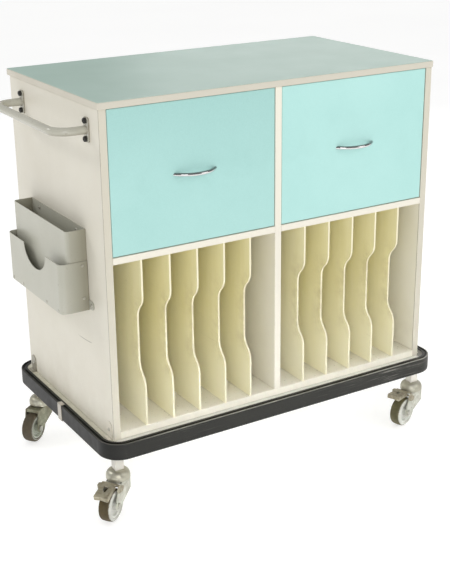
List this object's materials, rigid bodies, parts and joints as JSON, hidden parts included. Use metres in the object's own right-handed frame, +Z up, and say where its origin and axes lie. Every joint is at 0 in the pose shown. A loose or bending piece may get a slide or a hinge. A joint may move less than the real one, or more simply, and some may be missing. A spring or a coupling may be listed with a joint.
{
  "type": "medical records trolley",
  "caption": "Wheeled records trolley with divided open file bays under drawers, a push handle and wall pocket at one end, a rubber bumper round the base and swivel casters.",
  "frame": {"origin": "on the floor, at the middle of the whole trolley's bounding box", "axes": "+Z up, -Y out of the open front where the drawers pull out, -X towards the end with the push handle"},
  "size_m": [1.0472, 0.5978, 1],
  "materials": {
    "sage_laminate": "satin sage green laminate",
    "aqua_board": "board faced in satin pale aqua laminate",
    "cream_board": "board faced in satin cream melamine, matching edge banding",
    "inner_board": "pale melamine-faced board",
    "divider_board": "thin board, matte cream paint",
    "runner_steel": "zinc-plated rolled steel",
    "grey_paint": "semi-gloss light grey paint",
    "black_bolt": "black satin",
    "pocket_paint": "semi-gloss warm grey paint",
    "zinc_fastener": "dull zinc plating",
    "chrome": "polished chrome",
    "tray_paint": "dusty grey paint",
    "bumper_rubber": "matte charcoal rubber, scuffed",
    "clip_metal": "satin pinkish cream paint",
    "bracket_paint": "satin cream paint",
    "white_paint": "semi-gloss white paint",
    "tyre": "matte grey-brown rubber",
    "hub_plastic": "satin light grey",
    "pedal_steel": "worn warm grey zinc",
    "caster_zinc": "bright zinc plating",
    "axle_steel": "zinc plating"
  },
  "bodies": {
    "cabinet": {"top_board": "cream_board", "top_laminate": "sage_laminate", "left_side_panel": "cream_board", "right_side_panel": "cream_board", "centre_upright": "cream_board", "back_panel": "inner_board", "base_board": "cream_board", "left_shelf": "cream_board", "right_shelf": "cream_board", "left_dividers": "divider_board", "right_dividers": "divider_board", "left_outer_rails": "runner_steel", "right_outer_rails": "runner_steel", "push_handle": "grey_paint", "push_handle_bolts": "black_bolt", "pocket_inner_bin": "pocket_paint", "pocket_outer_bin": "pocket_paint", "pocket_rivets": "zinc_fastener", "base_tray": "tray_paint", "bumper": "bumper_rubber", "bumper_joint_clip": "clip_metal", "corner_brackets": "bracket_paint", "panel_screws": "zinc_fastener", "base_frame": "white_paint", "caster_stems": "caster_zinc", "caster_domes": "caster_zinc"},
    "left_drawer": {"left_drawer_front": "aqua_board", "left_drawer_sides": "inner_board", "left_drawer_back": "inner_board", "left_drawer_bottom": "inner_board", "left_drawer_handle": "chrome", "left_handle_screws": "zinc_fastener", "left_inner_rails": "runner_steel"},
    "left_runners": {"left_middle_rails": "runner_steel"},
    "right_drawer": {"right_drawer_front": "aqua_board", "right_drawer_sides": "inner_board", "right_drawer_back": "inner_board", "right_drawer_bottom": "inner_board", "right_drawer_handle": "chrome", "right_handle_screws": "zinc_fastener", "right_inner_rails": "runner_steel"},
    "right_runners": {"right_middle_rails": "runner_steel"},
    "front_left_caster": {"front_left_fork": "caster_zinc", "front_left_axle": "axle_steel"},
    "front_left_wheel": {"front_left_hub": "hub_plastic", "front_left_tyre": "tyre"},
    "front_left_pedal": {"front_left_brake_pedal": "pedal_steel"},
    "back_left_caster": {"back_left_fork": "caster_zinc", "back_left_axle": "axle_steel"},
    "back_left_wheel": {"back_left_hub": "hub_plastic", "back_left_tyre": "tyre"},
    "front_right_caster": {"front_right_fork": "caster_zinc", "front_right_axle": "axle_steel"},
    "front_right_wheel": {"front_right_hub": "hub_plastic", "front_right_tyre": "tyre"},
    "front_right_pedal": {"front_right_brake_pedal": "pedal_steel"},
    "back_right_caster": {"back_right_fork": "caster_zinc", "back_right_axle": "axle_steel"},
    "back_right_wheel": {"back_right_hub": "hub_plastic", "back_right_tyre": "tyre"}
  },
  "joints": [
    {"name": "left_drawer_slide", "type": "slide", "parent": "cabinet", "child": "left_drawer", "axis": [0, -1, 0], "range_m": [0, 0.4]},
    {"name": "left_runner_slide", "type": "slide", "parent": "cabinet", "child": "left_runners", "axis": [0, -1, 0], "range_m": [0, 0.2]},
    {"name": "right_drawer_slide", "type": "slide", "parent": "cabinet", "child": "right_drawer", "axis": [0, -1, 0], "range_m": [0, 0.4]},
    {"name": "right_runner_slide", "type": "slide", "parent": "cabinet", "child": "right_runners", "axis": [0, -1, 0], "range_m": [0, 0.2]},
    {"name": "front_left_swivel", "type": "hinge", "parent": "cabinet", "child": "front_left_caster", "pos_m": [-0.43035, -0.23309, 0.09], "axis": [0, 0, 1], "continuous": true},
    {"name": "front_left_wheel_spin", "type": "hinge", "parent": "front_left_caster", "child": "front_left_wheel", "pos_m": [-0.46433, -0.25778, 0.04], "axis": [0.5878, -0.809, 0], "continuous": true},
    {"name": "front_left_pedal_hinge", "type": "hinge", "parent": "front_left_caster", "child": "front_left_pedal", "pos_m": [-0.45219, -0.24896, 0.0835], "axis": [0.5878, -0.809, 0], "range_deg": [-22, 5]},
    {"name": "back_left_swivel", "type": "hinge", "parent": "cabinet", "child": "back_left_caster", "pos_m": [-0.43035, 0.24091, 0.09], "axis": [0, 0, 1], "continuous": true},
    {"name": "back_left_wheel_spin", "type": "hinge", "parent": "back_left_caster", "child": "back_left_wheel", "pos_m": [-0.46433, 0.21622, 0.04], "axis": [0.5878, -0.809, 0], "continuous": true},
    {"name": "front_right_swivel", "type": "hinge", "parent": "cabinet", "child": "front_right_caster", "pos_m": [0.47465, -0.23309, 0.09], "axis": [0, 0, 1], "continuous": true},
    {"name": "front_right_wheel_spin", "type": "hinge", "parent": "front_right_caster", "child": "front_right_wheel", "pos_m": [0.43459, -0.24572, 0.04], "axis": [0.3007, -0.9537, 0], "continuous": true},
    {"name": "front_right_pedal_hinge", "type": "hinge", "parent": "front_right_caster", "child": "front_right_pedal", "pos_m": [0.4489, -0.24121, 0.0835], "axis": [0.3007, -0.9537, 0], "range_deg": [-6, 21]},
    {"name": "back_right_swivel", "type": "hinge", "parent": "cabinet", "child": "back_right_caster", "pos_m": [0.47465, 0.24091, 0.09], "axis": [0, 0, 1], "continuous": true},
    {"name": "back_right_wheel_spin", "type": "hinge", "parent": "back_right_caster", "child": "back_right_wheel", "pos_m": [0.44025, 0.21682, 0.04], "axis": [0.5736, -0.8192, 0], "continuous": true}
  ],
  "couplings": [
    {"joint": "left_runner_slide", "follows": "left_drawer_slide", "ratio": 0.5},
    {"joint": "right_runner_slide", "follows": "right_drawer_slide", "ratio": 0.5}
  ]
}
